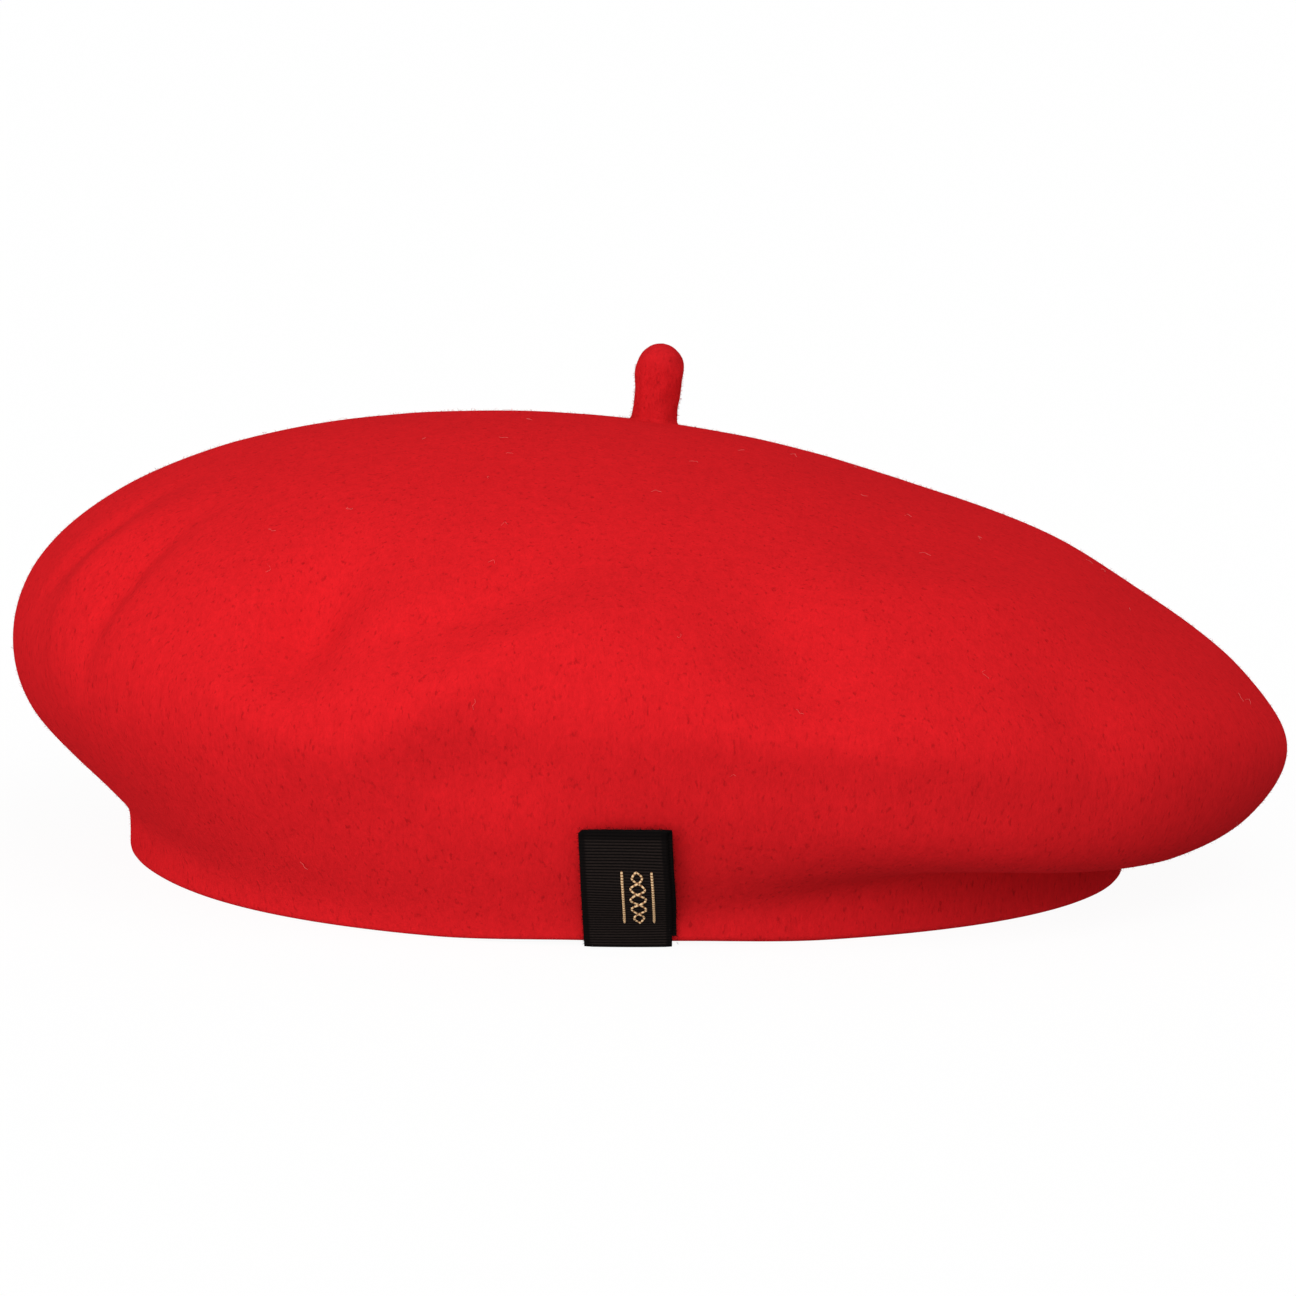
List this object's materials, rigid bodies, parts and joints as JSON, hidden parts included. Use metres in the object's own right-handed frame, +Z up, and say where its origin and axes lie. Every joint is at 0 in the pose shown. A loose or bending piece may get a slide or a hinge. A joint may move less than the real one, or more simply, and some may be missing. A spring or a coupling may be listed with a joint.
{
  "type": "felt beret",
  "caption": "Soft felt beret: a hollow felt shell with an upright band and an overhanging, folded crown, a short stalk on top and a ribbon tab folded round its rim.",
  "frame": {"origin": "under the middle of the beret's outline, on the surface that its rim rests on", "axes": "+X along the longest side of the crown, towards its drooping end; +Y away from the side with the ribbon tab; +Z up"},
  "size_m": [0.2548, 0.2386, 0.1029],
  "materials": {
    "red_felt": "matt brushed wool felt",
    "stalk_felt": "matt tightly felted wool",
    "black_ribbon": "ribbed grosgrain ribbon with a low sheen"
  },
  "bodies": {
    "root": {"crown": "red_felt", "stalk": "stalk_felt", "ribbon_tab": "black_ribbon"}
  },
  "joints": []
}
